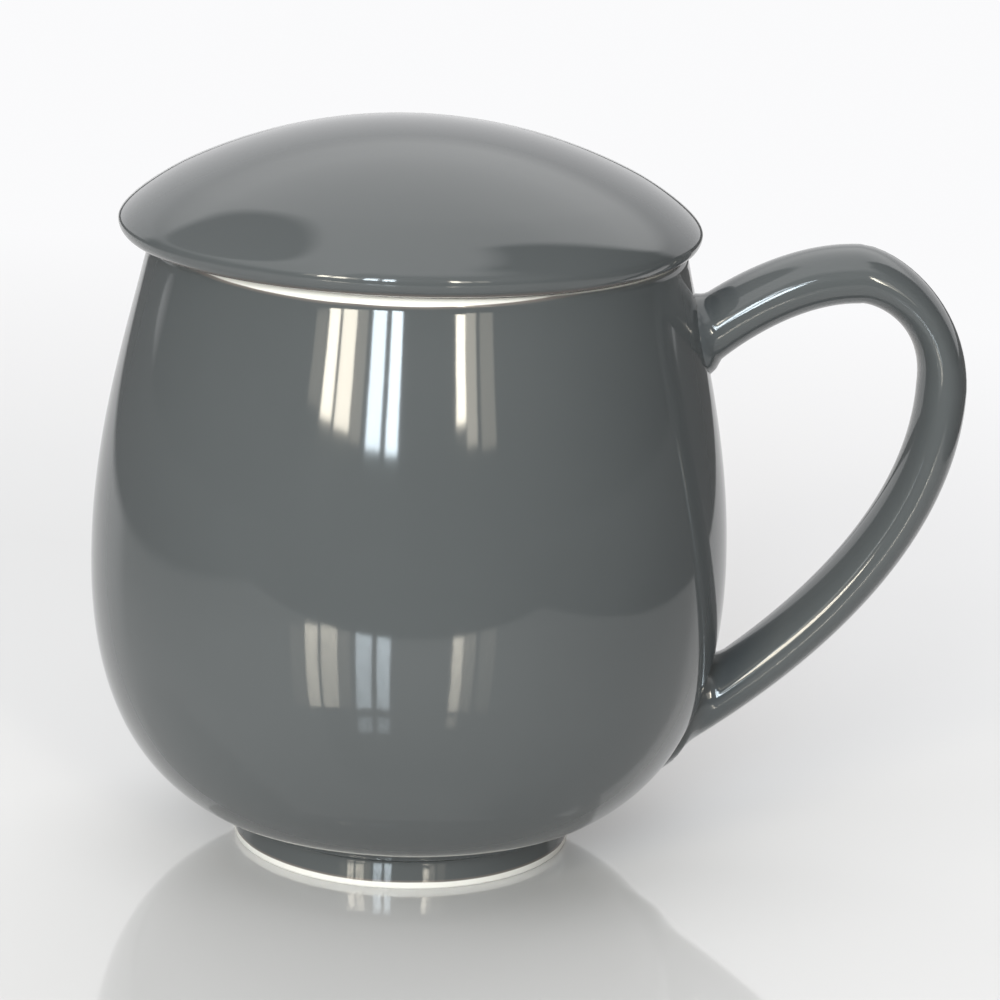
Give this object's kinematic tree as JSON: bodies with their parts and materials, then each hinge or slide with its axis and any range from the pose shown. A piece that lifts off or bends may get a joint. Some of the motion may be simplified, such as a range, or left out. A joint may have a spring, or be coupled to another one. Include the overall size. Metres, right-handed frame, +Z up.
{
  "type": "lidded tea mug with infuser",
  "caption": "Round-bellied glazed porcelain mug with a loop handle, a loose domed lid and a lift-out steel infuser basket that hangs on its lip.",
  "frame": {"origin": "centre of the mug's foot ring, on the surface it stands on", "axes": "+Z up along the mug's axis, +X from the axis towards the handle"},
  "size_m": [0.1294, 0.095, 0.1097],
  "materials": {
    "grey_glaze": "glossy slate-grey glaze outside, white glaze inside",
    "stainless_sheet": "satin stainless sheet"
  },
  "bodies": {
    "mug": {"mug_body": "grey_glaze", "handle": "grey_glaze"},
    "infuser": {"infuser_rim": "stainless_sheet", "infuser_wall": "stainless_sheet", "infuser_base": "stainless_sheet", "infuser_base_ring": "stainless_sheet"},
    "lid": {"lid": "grey_glaze"}
  },
  "joints": [
    {"name": "infuser_lift", "type": "slide", "parent": "mug", "child": "infuser", "axis": [0, 0, 1], "range_m": [0, 0.08]},
    {"name": "lid_lift", "type": "slide", "parent": "infuser", "child": "lid", "axis": [0, 0, 1], "range_m": [0, 0.06]}
  ]
}
